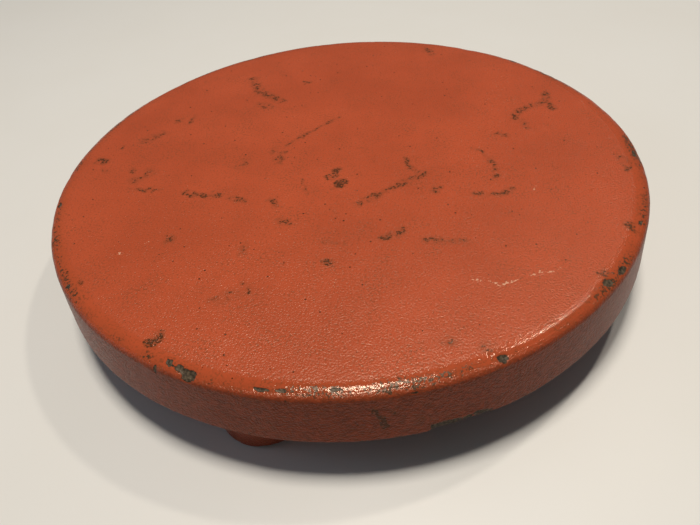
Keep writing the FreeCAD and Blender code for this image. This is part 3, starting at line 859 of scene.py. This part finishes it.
@dataclass
class WheelHead:
    """The cast wheel head: one closed surface, from the working face round the skirt to the blind bore."""

    columns: int = 720
    draft: float = 2.0              # how much narrower the working face is than the rim, each side
    edge_rounding: float = 3.5
    soft_edge: float = 3.8          # the working face starts to turn over this far from its sharp edge
    soft_slope: float = 0.32
    soft_rounding: float = 8.0
    sharp_rounding: float = 2.3
    lip_rounding: float = 1.0
    fine_rows: float = 12.0         # the working face's rows are close together this far from the rim
    skirt_fillet: float = 4.0
    boss_fillet: float = 3.0
    skirt_thickness: float = 6.5
    inner_draft: float = 2.5
    plate_thickness: float = 8.0
    boss_radius: float = 31.0
    boss_draft: float = 1.0
    bore_radius: float = 10.0
    bore_depth: float = 10.2
    rib_count: int = 6
    rib_thickness: float = 5.0
    rib_flank: float = 1.4
    screw_bearings: tuple[float, ...] = (-30.0, 90.0)
    screw_hole_radius: float = 2.5
    screw_face_radius: float = 17.8
    hole_edge: float = 0.4
    wall_zone: float = 0.6          # the boss's side counts to this far outside its foot
    seed: int = 11
    chips: tuple[Chip, ...] = (
        Chip(264.6, 122.9, 39.0, 2.4, 1.7, 0.45),
        Chip(262.6, 121.8, 39.6, 1.6, 1.0, 0.25),
        Chip(260.8, 121.4, 40.0, 1.7, 1.3, 0.25),
        Chip(258.9, 124.6, 38.2, 0.9, 1.5, 0.20),
        Chip(276.0, 122.6, 39.7, 2.6, 0.7, 0.15),
        Chip(278.8, 122.3, 39.8, 1.8, 0.6, 0.12),
        Chip(286.4, 121.6, 39.9, 1.8, 0.6, 0.12),
        Chip(296.8, 124.4, 37.9, 1.0, 0.6, 0.15),
        Chip(300.2, 123.8, 38.6, 0.9, 0.6, 0.15),
        Chip(310.0, 122.8, 39.6, 1.3, 1.3, 0.40),
        Chip(332.8, 122.0, 39.9, 2.0, 1.2, 0.22),
        Chip(336.8, 123.0, 39.4, 2.6, 1.2, 0.28),
        Chip(349.5, 122.0, 39.9, 1.3, 0.8, 0.15),
        Chip(11.5, 122.2, 39.9, 1.9, 0.9, 0.15),
        Chip(59.0, 122.2, 39.9, 1.8, 1.1, 0.20),
        Chip(208.0, 122.4, 39.8, 1.6, 1.0, 0.20),
        Chip(233.0, 122.6, 39.7, 1.3, 1.0, 0.18),
    )
    worn: tuple[WornStretch, ...] = (
        WornStretch(230.0, 24.0, 0.20),
        WornStretch(287.0, 10.0, 0.25),
        WornStretch(299.0, 6.0, 0.30),
        WornStretch(335.5, 5.0, 0.38),
        WornStretch(352.0, 6.0, 0.18),
        WornStretch(185.0, 14.0, 0.22),
        WornStretch(135.0, 30.0, 0.32),
        WornStretch(50.0, 12.0, 0.30),
        WornStretch(12.0, 8.0, 0.32),
    )
    paint_bead: Chip = Chip(286.0, 124.0, 38.8, 1.3, 1.1, 0.45)     # where the paint stands proud
    chip_reach: float = 1.15        # a chip starts this many times its size from its middle
    chip_slope: float = 0.35
    chip_outline: Mottle = Mottle(0.0, 0.42, 1.9, 2, 12)
    broad_lumps: Mottle = Mottle(1.0, 1.0, 48.0, 2, 11)
    fine_lumps: Mottle = Mottle(1.0, 1.0, 14.0, 2, 17)
    grit: Mottle = Mottle(0.0, 1.0, 4.5, 3, 18)
    face_lumps: tuple[float, float] = (0.09, 0.03)              # depths of broad and fine lumps
    skirt_lumps: tuple[float, float, float] = (0.12, 0.10, 0.05)    # of broad and fine lumps and grit
    underside_lumps: tuple[float, float] = (0.25, 0.30)         # of fine lumps and grit
    skirt_zone: float = 4.0         # the skirt counts from this far in from the rim
    face_zone: float = 3.0          # the face counts from this far above the plate's underside
    crown_width: float = 14.0       # the working face falls away a little towards its edge
    crown_drop: float = 0.25
    crown_fade: tuple[float, float] = (10.0, 3.0)       # the fall fades out between these below the top
    break_start: float = 298.4      # bearing where the skirt's lower lip is knocked away
    break_end: float = 311.0
    break_step: float = 0.9         # degrees
    break_hold: float = 0.55        # share of its length before it tapers off
    break_rise: float = 1.7
    break_height: float = 6.0
    break_bare: tuple[float, float] = (2.2, 4.4)        # iron is bare up to these heights above the lip
    break_outline: Mottle = Mottle(0.80, 0.35, 3.5, 3, 15)
    break_iron: Mottle = Mottle(0.75, 0.40, 2.5, 2, 16)
    dent_count: int = 60
    dent_widths: tuple[float, float] = (0.9, 4.5)
    dent_knocks: tuple[float, float] = (0.05, 0.32)
    dent_power: float = 1.3         # makes deep knocks rarer
    dent_tilt: tuple[float, float] = (42.0, 30.0)       # where round the edge dents are deepest
    rubbed_line: tuple[float, float] = (4.6, 0.5)       # most rubbed this far in from the rim and down
    rubbed_width: float = 3.0
    rubbing: Mottle = Mottle(0.24, 0.20, 7.0, 3, 13)
    lip_wear_width: float = 1.6
    lip_wear: Mottle = Mottle(0.35, 0.35, 6.0, 2, 14)
    fat_inside: float = 1.2         # paint is thick this far round the edge's start
    fat_outside: float = 3.6

    def __post_init__(self) -> None:
        """Takes the levels and the rim's radius from the CAD nodes' boxes."""
        low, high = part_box("wheel_head")
        self.rim_radius = high.x / MM
        self.top = high.z / MM
        self.skirt_bottom = low.z / MM
        self.boss_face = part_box("upper_race")[1].z / MM
        self.plate_underside = self.top - self.plate_thickness

    def outline(self) -> Profile:
        """The head's outline: straight runs between rounded corners.

        Returns:
            The outline, from the middle of the working face to the end of the bore.
        """
        face = self.rim_radius - self.draft
        inner = self.rim_radius - self.skirt_thickness
        bore_end = self.boss_face + self.bore_depth
        return Profile.through([
            Corner(0, self.top),
            Corner(self.rim_radius - self.fine_rows, self.top, step=1.1),
            Corner(face - self.soft_edge, self.top, self.soft_rounding, step=0.5),
            Corner(face, self.top - self.soft_slope * self.soft_edge, self.sharp_rounding, step=1.1),
            Corner(self.rim_radius, self.skirt_bottom, self.lip_rounding, step=1.1),
            Corner(inner, self.skirt_bottom, self.lip_rounding, step=2.2),
            Corner(inner - self.inner_draft, self.plate_underside, self.skirt_fillet, 4.5, 1.4),
            Corner(self.boss_radius + self.boss_draft, self.plate_underside, self.boss_fillet, 0.5, 1.2),
            Corner(self.boss_radius, self.boss_face, self.lip_rounding, step=4.0),
            Corner(self.bore_radius, self.boss_face, step=3.5),
            Corner(self.bore_radius, bore_end),
            Corner(0, bore_end),
        ])

    def damage(self, grid: Array, profile: Profile, bearing: Array) -> tuple[Array, Array]:
        """Dents, chips and the bead of paint.

        A dent's depth is a bell curve along the rim times one over the edge's tilt. A chip is a smooth pit
        inside a distance, along the rim and across it, that noise makes ragged. The bead stands out by a
        bell curve each way.

        Args:
            grid: the undamaged places.
            profile: the outline.
            bearing: each column's bearing.

        Returns:
            Depth below the undamaged surface, and how bare the iron is.
        """
        radius, height = profile.points[:, :1], profile.points[:, 1:]
        tilt = np.degrees(np.arctan2(profile.outward[:, :1], profile.outward[:, 1:]))
        crest = bell(tilt, *self.dent_tilt) * (height > self.top - 2 * self.edge_rounding)
        depth = np.zeros(grid.shape[:2])
        bare = np.zeros(grid.shape[:2])
        random = np.random.default_rng(self.seed)
        for middle, width, knock in zip(random.uniform(0, 360, self.dent_count),
                                        random.uniform(*self.dent_widths, self.dent_count),
                                        random.uniform(*self.dent_knocks, self.dent_count)):
            along = np.radians(bearing_gap(bearing, middle)) * self.rim_radius
            depth += knock**self.dent_power * bell(along, 0.0, width) * crest
        ragged = self.chip_outline.over(grid)
        for chip in self.chips:
            along = np.radians(bearing_gap(bearing, chip.bearing)) * chip.radius / chip.along
            across = np.hypot(radius - chip.radius, height - chip.height) / chip.across
            pit = smooth_step(self.chip_reach - np.hypot(along, across) - ragged, 0.0, self.chip_slope)
            depth = np.maximum(depth, chip.depth * pit)
            bare = np.maximum(bare, pit)
        bead = self.paint_bead
        along = np.radians(bearing_gap(bearing, bead.bearing)) * bead.radius
        across = np.hypot(radius - bead.radius, height - bead.height)
        depth -= bead.depth * bell(along, 0.0, bead.along) * bell(across, 0.0, bead.across)
        return depth, bare

    def wear(self, grid: Array, profile: Profile, bearing: Array) -> Array:
        """How worn the enamel is, along the working face's edge and along the skirt's lower lip.

        Each is a bell curve over the distance from its line, times smooth noise. The edge's noise is raised
        by a bell curve over the bearing for each worn stretch.

        Args:
            grid: the undamaged places.
            profile: the outline.
            bearing: each column's bearing.

        Returns:
            The wear, from 0 to about 1.
        """
        radius, height = profile.points[:, :1], profile.points[:, 1:]
        rubbed = self.rubbing.over(grid)
        for stretch in self.worn:
            rubbed = rubbed + stretch.amount * bell(bearing_gap(bearing, stretch.bearing), 0.0, stretch.width)
        inset, drop = self.rubbed_line
        away = np.hypot(radius - self.rim_radius + inset, height - self.top + drop)
        edge = rubbed * bell(away, 0.0, self.rubbed_width) * (height > self.top - 2 * self.edge_rounding)
        lip = bell(height, self.skirt_bottom, self.lip_wear_width) * (radius > self.rim_radius - 2)
        return np.maximum(edge, lip * self.lip_wear.over(grid))

    def break_lip(self, grid: Array, bare: Array, bearing: Array) -> None:
        """Raises the skirt's lower lip where a piece is knocked away, and bares its iron, in place.

        The rise starts with a step, tapers off along the skirt, and fades from the lip to a little above it.

        Args:
            grid: the places, which are moved.
            bare: how bare the iron is, which is raised.
            bearing: each column's bearing.
        """
        along = bearing_gap(bearing, self.break_start)
        length = self.break_end - self.break_start
        taper = smooth_step(along, 0.0, self.break_step)
        taper = taper * (1 - smooth_step(along, self.break_hold * length, length))
        jagged = self.break_outline.over(grid)
        above = grid[..., 2] - self.skirt_bottom
        outside = np.hypot(grid[..., 0], grid[..., 1]) > self.rim_radius - self.skirt_thickness - 1
        near = (1 - smooth_step(above, 0.0, self.break_height)) * outside
        grid[..., 2] += self.break_rise * taper * jagged * near
        patch = taper * (1 - smooth_step(above, *self.break_bare)) * outside
        np.maximum(bare, patch * self.break_iron.over(grid), out=bare)

    def shape_underside(self, grid: Array, profile: Profile, bearing: Array) -> None:
        """Adds the ribs and the set screws' holes, in place.

        A rib lowers the underside to the boss's face where a place is within half a thickness of its
        middle line. A hole draws the boss's side in to the screw's face within the hole's radius.

        Args:
            grid: the places, which are moved.
            profile: the outline.
            bearing: each column's bearing.
        """
        radius, height = profile.points[:, :1], profile.points[:, 1:]
        inner = self.rim_radius - self.skirt_thickness
        pocket = (radius < inner + NEAR) & (radius > self.boss_radius - NEAR) & (height > self.boss_face)
        pocket = pocket & (height < self.plate_underside + NEAR)
        spacing = 360.0 / self.rib_count
        off = radius * np.abs(np.sin(np.radians(bearing_gap(bearing % spacing, 0.0))))
        off = np.minimum(off, radius * np.abs(np.sin(np.radians(bearing % spacing - spacing))))
        half = (self.rib_thickness + self.rib_flank) / 2
        rib = smooth_step(half - off, 0.0, self.rib_flank) * pocket
        grid[..., 2] += rib * (self.boss_face - np.maximum(height, self.boss_face))
        middle = (self.boss_face + self.plate_underside) / 2
        wall = pocket & (radius < self.boss_radius + self.boss_draft + self.wall_zone)
        for screw in self.screw_bearings:
            gap = bearing_gap(bearing, screw)
            sideways = radius * np.sin(np.radians(gap))
            reach = np.hypot(sideways, height - middle)
            hole = smooth_step(self.screw_hole_radius + self.hole_edge / 2 - reach, 0.0, self.hole_edge)
            hole = hole * wall * (np.abs(gap) < 90)
            drawn = 1 + hole * (self.screw_face_radius / radius.clip(1) - 1)
            grid[..., :2] *= drawn[..., None]

    def build(self) -> bpy.types.Object:
        """Makes the head's mesh with its attributes.

        The attributes are wear, bare, side for the skirt and underside, and fat for how thick paint lies on
        the edge. The working face falls away towards its edge by the square of the distance. Casting
        unevenness moves each place along the outward direction by layers of smooth noise: inwards only on
        the outside, both ways on the rough underside, and not at all on the machined boss and bore.

        Returns:
            The piece.
        """
        profile = self.outline()
        grid, outward, bearing = profile.spin(self.columns)
        radius, height = profile.points[:, :1], profile.points[:, 1:]
        shoulder = self.rim_radius - self.edge_rounding - self.crown_width
        fallen = ((radius - shoulder) / self.crown_width).clip(0, 1)
        low, high = (self.top - below for below in self.crown_fade)
        grid[..., 2] -= self.crown_drop * fallen**2 * smooth_step(height, low, high)
        upward, sideways = profile.outward[:, 1:], profile.outward[:, :1]
        skirt = np.clip(sideways, 0, 1) * (radius > self.rim_radius - self.skirt_zone)
        face = np.clip(upward, 0, 1) * (height > self.plate_underside + self.face_zone)
        rough = (radius > self.boss_radius + 0.5) & (height > self.boss_face) & (upward < 0.5)
        rough = rough & (radius < self.rim_radius - self.skirt_thickness + NEAR)
        broad, fine, gritty = (layer.over(grid) for layer in (self.broad_lumps, self.fine_lumps, self.grit))
        depth = face * (self.face_lumps[0] * broad + self.face_lumps[1] * fine)
        broadly, finely, grittily = self.skirt_lumps
        depth += skirt * (broadly * broad + finely * fine + grittily * (1 + gritty))
        knocks, bare = self.damage(grid, profile, bearing)
        wear = self.wear(grid, profile, bearing)
        depth = np.maximum(depth, 0) + knocks
        finely, grittily = self.underside_lumps
        depth -= rough * (grittily * gritty + finely * (fine - 1))
        grid -= outward * depth[..., None]
        self.shape_underside(grid, profile, bearing)
        self.break_lip(grid, bare, bearing)
        # side marks the skirt and underside: the material roughens them and darkens their paint, partly as
        # dirt and partly as painted shade
        side = np.broadcast_to(np.maximum(skirt, height < self.plate_underside + 1), bare.shape)
        away = np.hypot(radius - self.rim_radius + self.draft + self.edge_rounding, height - self.top)
        fat = np.broadcast_to(1 - smooth_step(away, self.fat_inside, self.fat_outside), bare.shape)
        shell = Shell(grid, attributes={"wear": wear, "bare": bare, "side": side, "fat": fat})
        piece = make_piece("wheel_head_casting", [shell])
        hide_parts("wheel_head")
        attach(piece, "wheel")
        return piece

    def dress(self, piece: bpy.types.Object) -> None:
        """Brushes the head with enamel and marks it where it has been used."""
        dress(piece, Enamel(scuffs=SCUFFS, pale_marks=PALE_MARKS).material())


@dataclass
class BaseCasting:
    """The cast base, as overlapping shells: a hub with its seats, three tapering arms, three round feet."""

    arm_bearings: tuple[float, ...] = (-90.0, 30.0, 150.0)
    foot_circle: float = 104.5
    hub_columns: int = 240
    collar_top: float = 21.4
    collar_radius: float = 14.5
    bore_radius: float = 11.0
    race_seat_radius: float = 23.5
    race_seat_height: float = 15.0
    hub_top: float = 19.0
    hub_top_radius: float = 31.0
    hub_foot_radius: float = 36.0
    hub_bottom: float = 2.0
    recess_radius: float = 18.0
    recess_height: float = 7.5
    arm_start: float = 24.0
    arm_end: float = 93.0
    arm_rows: int = 120
    arm_columns: int = 96
    squareness: float = 5.0
    arm_width_start: float = 12.5
    arm_width_end: float = 8.5
    arm_top_start: float = 17.0
    arm_top_end: float = 11.0
    arm_bottom: float = 3.0
    arm_clearance: float = 2.5      # how far the underside rises over a pad's seat
    arm_fillet: float = 3.0
    arm_draft: float = 0.07
    taper_start: float = 20.0
    cast_depth: float = 0.35
    foot_columns: int = 120
    foot_top: float = 12.0
    foot_top_radius: float = 16.5
    foot_radius: float = 17.5
    foot_bottom: float = 1.0
    pad_seat_radius: float = 12.0
    pad_seat_height: float = 4.0
    tapped_radius: float = 2.0
    tapped_top: float = 9.6
    broad_lumps: Mottle = Mottle(0.6, 0.6, 12.0, 2, 41)
    grit: Mottle = Mottle(0.4, 0.4, 3.6, 2, 42)
    hub_cast_depth: float = 0.30
    rubbing: Mottle = Mottle(0.20, 0.24, 9.0, 3, 43)

    def roughened(self, grid: Array, cast: Array, depth: float) -> Array:
        """Casting unevenness: moves cast places inwards by smooth noise in a broad and a fine layer.

        Args:
            grid: the places.
            cast: 1 where the surface is as cast and 0 where it is machined.
            depth: how deep the noise goes.

        Returns:
            The moved places.
        """
        uneven = self.broad_lumps.over(grid) + self.grit.over(grid)
        return grid - outward_of(grid) * (cast * depth * uneven)[..., None]

    def hub(self) -> Shell:
        """The turned ring in the middle: bush's collar, bearing's seat, outer cone and the recess below.

        Returns:
            Its closed surface.
        """
        profile = Profile.through([
            Corner(self.bore_radius, self.collar_top, step=1.0),
            Corner(self.collar_radius, self.collar_top, 0.5, step=2.0, arc_step=0.3),
            Corner(self.collar_radius, self.race_seat_height, step=3.0),
            Corner(self.race_seat_radius, self.race_seat_height, step=2.0),
            Corner(self.race_seat_radius, self.hub_top, step=1.2),
            Corner(self.hub_top_radius, self.hub_top, 1.5, step=1.2),
            Corner(self.hub_foot_radius, self.hub_bottom, 1.0, step=2.0),
            Corner(self.recess_radius, self.hub_bottom, step=1.5),
            Corner(self.recess_radius, self.recess_height, step=2.0),
            Corner(self.bore_radius, self.recess_height, step=3.0),
        ], closed=True)
        grid, _, _ = profile.spin(self.hub_columns)
        cast = smooth_step(profile.points[:, :1], self.race_seat_radius + 0.2, self.race_seat_radius + 1.5)
        cast = np.broadcast_to(cast, grid.shape[:2])
        return Shell(self.roughened(grid, cast, self.hub_cast_depth), rows_wrap=True)

    def arm(self, bearing: float) -> Shell:
        """One arm: a superellipse carried out from the hub, |y/w|^n + |z/h|^n = 1.

        Its width and top fall evenly along it. It swells by a fillet where it leaves the hub and where it
        meets the foot, and its underside rises there to clear the pad's seat. Both end caps are buried.

        Args:
            bearing: which way the arm points.

        Returns:
            The arm's closed surface.
        """
        out = np.linspace(self.arm_start, self.arm_end, self.arm_rows)
        out = np.concatenate([out[:1], out[:1], out, out[-1:], out[-1:]])[:, None]
        size = np.ones(len(out))
        size[[0, -1]] = 0.0
        size[[1, -2]] = 0.9
        share = (out - self.taper_start) / (self.foot_circle - self.taper_start)
        foot_start = self.foot_circle - self.foot_radius
        meets_hub = np.exp(-np.clip(out - self.hub_foot_radius + 3, 0, None) / self.arm_fillet)
        meets_foot = np.exp(-np.clip(foot_start - out, 0, None) / self.arm_fillet)
        fillet = self.arm_fillet * (meets_hub + meets_foot)
        wide = self.arm_width_start + share * (self.arm_width_end - self.arm_width_start) + 0.8 * fillet
        top = self.arm_top_start + share * (self.arm_top_end - self.arm_top_start)
        under = self.arm_bottom + self.arm_clearance * smooth_step(out, foot_start, self.arm_end - 1)
        angle = np.arange(self.arm_columns) * (FULL_TURN / self.arm_columns)
        power = 2 / self.squareness
        left = -np.sign(np.cos(angle)) * np.abs(np.cos(angle)) ** power
        up = np.sign(np.sin(angle)) * np.abs(np.sin(angle)) ** power
        draft = 1 - self.arm_draft * up
        across = wide * left * draft * size[:, None]
        height = (top + under) / 2 + (top - under) / 2 * up * size[:, None]
        turn = math.radians(bearing)
        x = out * math.cos(turn) - across * math.sin(turn)
        y = out * math.sin(turn) + across * math.cos(turn)
        grid = np.stack([x, y, height], -1)
        return Shell(self.roughened(grid, np.ones(grid.shape[:2]), self.cast_depth))

    def foot(self, bearing: float) -> Shell:
        """One foot: an outline turned about the foot's own axis, with the pad's seat and the tapped hole.

        Args:
            bearing: which way the foot lies from the middle.

        Returns:
            The foot's closed surface.
        """
        profile = Profile.through([
            Corner(0, self.foot_top, step=1.2),
            Corner(self.foot_top_radius, self.foot_top, 3.0, step=1.2),
            Corner(self.foot_radius, self.foot_bottom, 0.5, step=1.2, arc_step=0.2),
            Corner(self.pad_seat_radius, self.foot_bottom, step=1.5),
            Corner(self.pad_seat_radius, self.pad_seat_height, step=2.5),
            Corner(self.tapped_radius, self.pad_seat_height, step=2.0),
            Corner(self.tapped_radius, self.tapped_top, step=1.0),
            Corner(0, self.tapped_top),
        ])
        grid, _, _ = profile.spin(self.foot_columns)
        turn = math.radians(bearing)
        grid = grid + np.array([self.foot_circle * math.cos(turn), self.foot_circle * math.sin(turn), 0.0])
        height, radius = profile.points[:, 1:], profile.points[:, :1]
        cast = np.maximum(smooth_step(radius, self.pad_seat_radius, self.pad_seat_radius + 1.5),
                          height > self.tapped_top + 1)
        return Shell(self.roughened(grid, np.broadcast_to(cast, grid.shape[:2]), self.cast_depth))

    def build(self) -> bpy.types.Object:
        """Makes the base's mesh, with a little dirt and wear on what stands out.

        Returns:
            The piece.
        """
        shells = [self.hub()]
        shells += [self.arm(bearing) for bearing in self.arm_bearings]
        shells += [self.foot(bearing) for bearing in self.arm_bearings]
        for shell in shells:
            grid = shell.grid
            wear = self.rubbing.over(grid) * (1 + smooth_step(grid[..., 2], 6.0, self.foot_top)) / 2
            blank = np.zeros(grid.shape[:2])
            # the base takes half of the darkening that side gives the head's skirt and underside
            shell.attributes = {"wear": wear, "bare": blank, "side": blank + 0.5, "fat": blank}
        piece = make_piece("base_casting_cast", shells)
        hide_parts("base_casting")
        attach(piece, "base")
        return piece

    def dress(self, piece: bpy.types.Object) -> None:
        """Brushes the base with enamel in darker colours than the head's."""
        dress(piece, Enamel("brushed_enamel_on_base", paint="#A94E36", deep_paint="#8E402B").material())


@dataclass
class FeltRing:
    """The felt dust ring under the wheel head: a square section carried round, roughened by its fibres."""

    columns: int = 300
    inner_radius: float = 24.5
    edge_rounding: float = 0.9
    fuzz: float = 0.16
    fibres: Mottle = Mottle(0.50, 0.35, 1.1, 3, 71)

    def build(self) -> bpy.types.Object:
        """Makes the ring. Its surface is sunk by smooth noise about a millimetre wide, as fibres leave it.

        Returns:
            The piece.
        """
        low, high = (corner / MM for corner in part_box("felt_dust_ring"))
        profile = Profile.through([
            Corner(self.inner_radius, high.z, self.edge_rounding, step=0.7, arc_step=0.4),
            Corner(high.x, high.z, self.edge_rounding, step=0.7, arc_step=0.4),
            Corner(high.x, low.z, 0.3, step=0.7, arc_step=0.3),
            Corner(self.inner_radius, low.z, 0.3, step=0.7, arc_step=0.3),
        ], closed=True)
        grid, outward, _ = profile.spin(self.columns)
        grid -= outward * (self.fuzz * self.fibres.over(grid).clip(0))[..., None]
        piece = make_piece("felt_dust_ring_pressed", [Shell(grid, rows_wrap=True)], sharp_angle=80.0)
        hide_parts("felt_dust_ring")
        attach(piece, "base")
        return piece

    def dress(self, piece: bpy.types.Object) -> None:
        """Gives the ring its felt."""
        dress(piece, Felt().material())


@dataclass(frozen=True)
class Hardware:
    """The machined and bought parts: they keep their CAD shapes and take a finish by their slot."""

    finishes: Mapping[str, Metal | Rubber] = field(default_factory=lambda: {
        "turned_steel": Metal("turned_mild_steel", "#9C9891", "#6E675C", 0.30, Lay.TURNED),
        "plain_steel": Metal("zinc_plated_pressing", "#A9A8A2", "#7E7A70", 0.38, film_size=4.0),
        "spring_steel": Metal("oiled_spring_steel", "#4E4D4F", "#2F2B28", 0.36, pitch=0.4),
        "bearing_steel": Metal("ground_bearing_steel", "#B4B1AA", "#86785F", 0.16, Lay.TURNED, 0.25, 0.008),
        "ball_steel": Metal("polished_chrome_steel", "#C6C6C4", "#A39A86", 0.07, depth=0.002),
        "cage_brass": Metal("stamped_brass", "#B8924D", "#7F6234", 0.30, film_size=3.0),
        "bush_bronze": Metal("sintered_bronze", "#9A7142", "#5F4630", 0.42, film_size=3.0),
        "black_steel": Metal("black_oxide_steel", "#2B2B2D", "#1D1B1A", 0.42, film_size=2.0),
        "screw_steel": Metal("zinc_plated_screw", "#A5A49E", "#77736A", 0.36, Lay.TURNED, film_size=2.0),
        "foot_rubber": Rubber(),
    })

    def dress(self) -> None:
        """Gives each CAD node that is still shown its finish and its slot."""
        made = {slot: finish.material() for slot, finish in self.finishes.items()}
        for part in frame["record"]["subparts"]:
            node, slot = frame["nodes"][part["node"]], part["material_slot"]
            if slot in made:
                dress(node, made[slot])
                log.info("%s: %s", node.name, self.finishes[slot].name)


# ---------------------------------------------------------------- the setting
@dataclass(frozen=True)
class TableTop:
    """A pale laminate table top."""

    half_size: float = 3000.0
    colour: str = "#EBEBE9"
    tint: str = "#E8E7E3"
    cloud: float = 60.0
    roughness: float = 0.42

    def build(self) -> bpy.types.Object:
        """Makes the table top, a square level with the pads' undersides.

        Returns:
            The table top.
        """
        reach = self.half_size * MM
        mesh = bpy.data.meshes.new("table_top")
        mesh.from_pydata([(-reach, -reach, 0), (reach, -reach, 0), (reach, reach, 0), (-reach, reach, 0)], [],
                         [(0, 1, 2, 3)])
        top = bpy.data.objects.new("table_top", mesh)
        bpy.context.scene.collection.objects.link(top)
        material, tree, mm = start_material("pale_satin_laminate")
        clouds = add(tree, "TexNoise", {"Vector": mm, "Scale": 1 / self.cloud, "Detail": 3.0})
        colour = add(tree, "Mix", {0: clouds, 6: linear(self.colour), 7: linear(self.tint)}, 2,
                     data_type="RGBA")
        finish_material(tree, {"Base Color": colour, "Roughness": self.roughness})
        dress(top, material)
        return top


@dataclass(frozen=True)
class Lamp:
    """A round soft lamp that faces the middle of the table."""

    name: str
    azimuth: float
    elevation: float
    distance: float
    diameter: float
    power: float
    colour: str

    def build(self) -> bpy.types.Object:
        """Makes the lamp. Its place is its distance from the origin along its azimuth and elevation.

        Returns:
            The lamp.
        """
        light = bpy.data.lights.new(self.name, "AREA")
        light.shape = "DISK"
        light.size = self.diameter
        light.energy = self.power
        light.color = linear(self.colour)[:3]
        turn, rise = math.radians(self.azimuth), math.radians(self.elevation)
        place = Vector((math.cos(turn) * math.cos(rise), math.sin(turn) * math.cos(rise), math.sin(rise)))
        lamp = bpy.data.objects.new(self.name, light)
        lamp.location = place * self.distance
        lamp.rotation_euler = place.to_track_quat("Z", "Y").to_euler()
        bpy.context.scene.collection.objects.link(lamp)
        return lamp


@dataclass(frozen=True)
class Studio:
    """The table, the lamps and the soft light of the room."""

    lamps: tuple[Lamp, ...] = (
        Lamp("ceiling_lamp", 125.0, 88.0, 1.5, 0.32, 16.4, "#FFF6E9"),
        Lamp("second_lamp", 58.0, 58.0, 1.8, 0.10, 4.8, "#FFF4E4"),
        Lamp("window", 195.0, 22.0, 2.5, 1.0, 5.0, "#DCE8FF"),
    )
    room: str = "#E6EDF0"
    room_light: float = 0.105

    def build(self) -> None:
        """Sets the table, hangs the lamps and fills the room with even light."""
        TableTop().build()
        for lamp in self.lamps:
            lamp.build()
        world = bpy.data.worlds.new("room")
        world.use_nodes = True
        world.node_tree.nodes.clear()
        light = add(world.node_tree, "Background", {"Color": linear(self.room), "Strength": self.room_light})
        add(world.node_tree, "OutputWorld", {"Surface": light})
        bpy.context.scene.world = world
        bpy.context.scene.view_settings.view_transform = "Standard"


@dataclass(frozen=True)
class Viewpoint:
    """The camera: where it stands and how it is turned, as angles in radians from level along +Y."""

    place: tuple[float, float, float] = (76.2, -206.0, 181.4)
    lens: float = 30.0
    yaw: float = -0.0086
    pitch: float = 0.7533
    roll: float = -0.1012
    turn: float = 20.3

    def build(self) -> bpy.types.Object:
        """Makes the scene's camera: turned about +Z, pitched down, then rolled about its line of sight.

        Returns:
            The camera.
        """
        sin_yaw, cos_yaw = math.sin(self.yaw), math.cos(self.yaw)
        sin_pitch, cos_pitch = math.sin(self.pitch), math.cos(self.pitch)
        ahead = Vector((sin_yaw * cos_pitch, cos_yaw * cos_pitch, -sin_pitch))
        right = Vector((cos_yaw, -sin_yaw, 0.0))
        up = right.cross(ahead)
        across = right * math.cos(self.roll) + up * math.sin(self.roll)
        upright = up * math.cos(self.roll) - right * math.sin(self.roll)
        axes = Matrix((across, upright, -ahead)).transposed()
        camera = bpy.data.objects.new("camera", bpy.data.cameras.new("camera"))
        camera.data.lens = self.lens
        camera.data.clip_start = 0.005
        turned = Matrix.Rotation(math.radians(self.turn), 3, "Z") @ axes
        camera.matrix_world = Matrix.LocRotScale(Vector(self.place) * MM, turned, None)
        bpy.context.scene.collection.objects.link(camera)
        bpy.context.scene.camera = camera
        return camera


def main() -> None:
    """Builds the pieces in order, then the setting, and notes the size of what was built."""
    logging.basicConfig(level=logging.INFO, format="%(name)s: %(message)s")
    for part in (WheelHead(), BaseCasting(), FeltRing()):
        piece = part.build()
        part.dress(piece)
        log.info("%s: %d faces", piece.name, len(piece.data.polygons))
    Hardware().dress()
    Studio().build()
    Viewpoint().build()


if __name__ == "__main__":
    main()
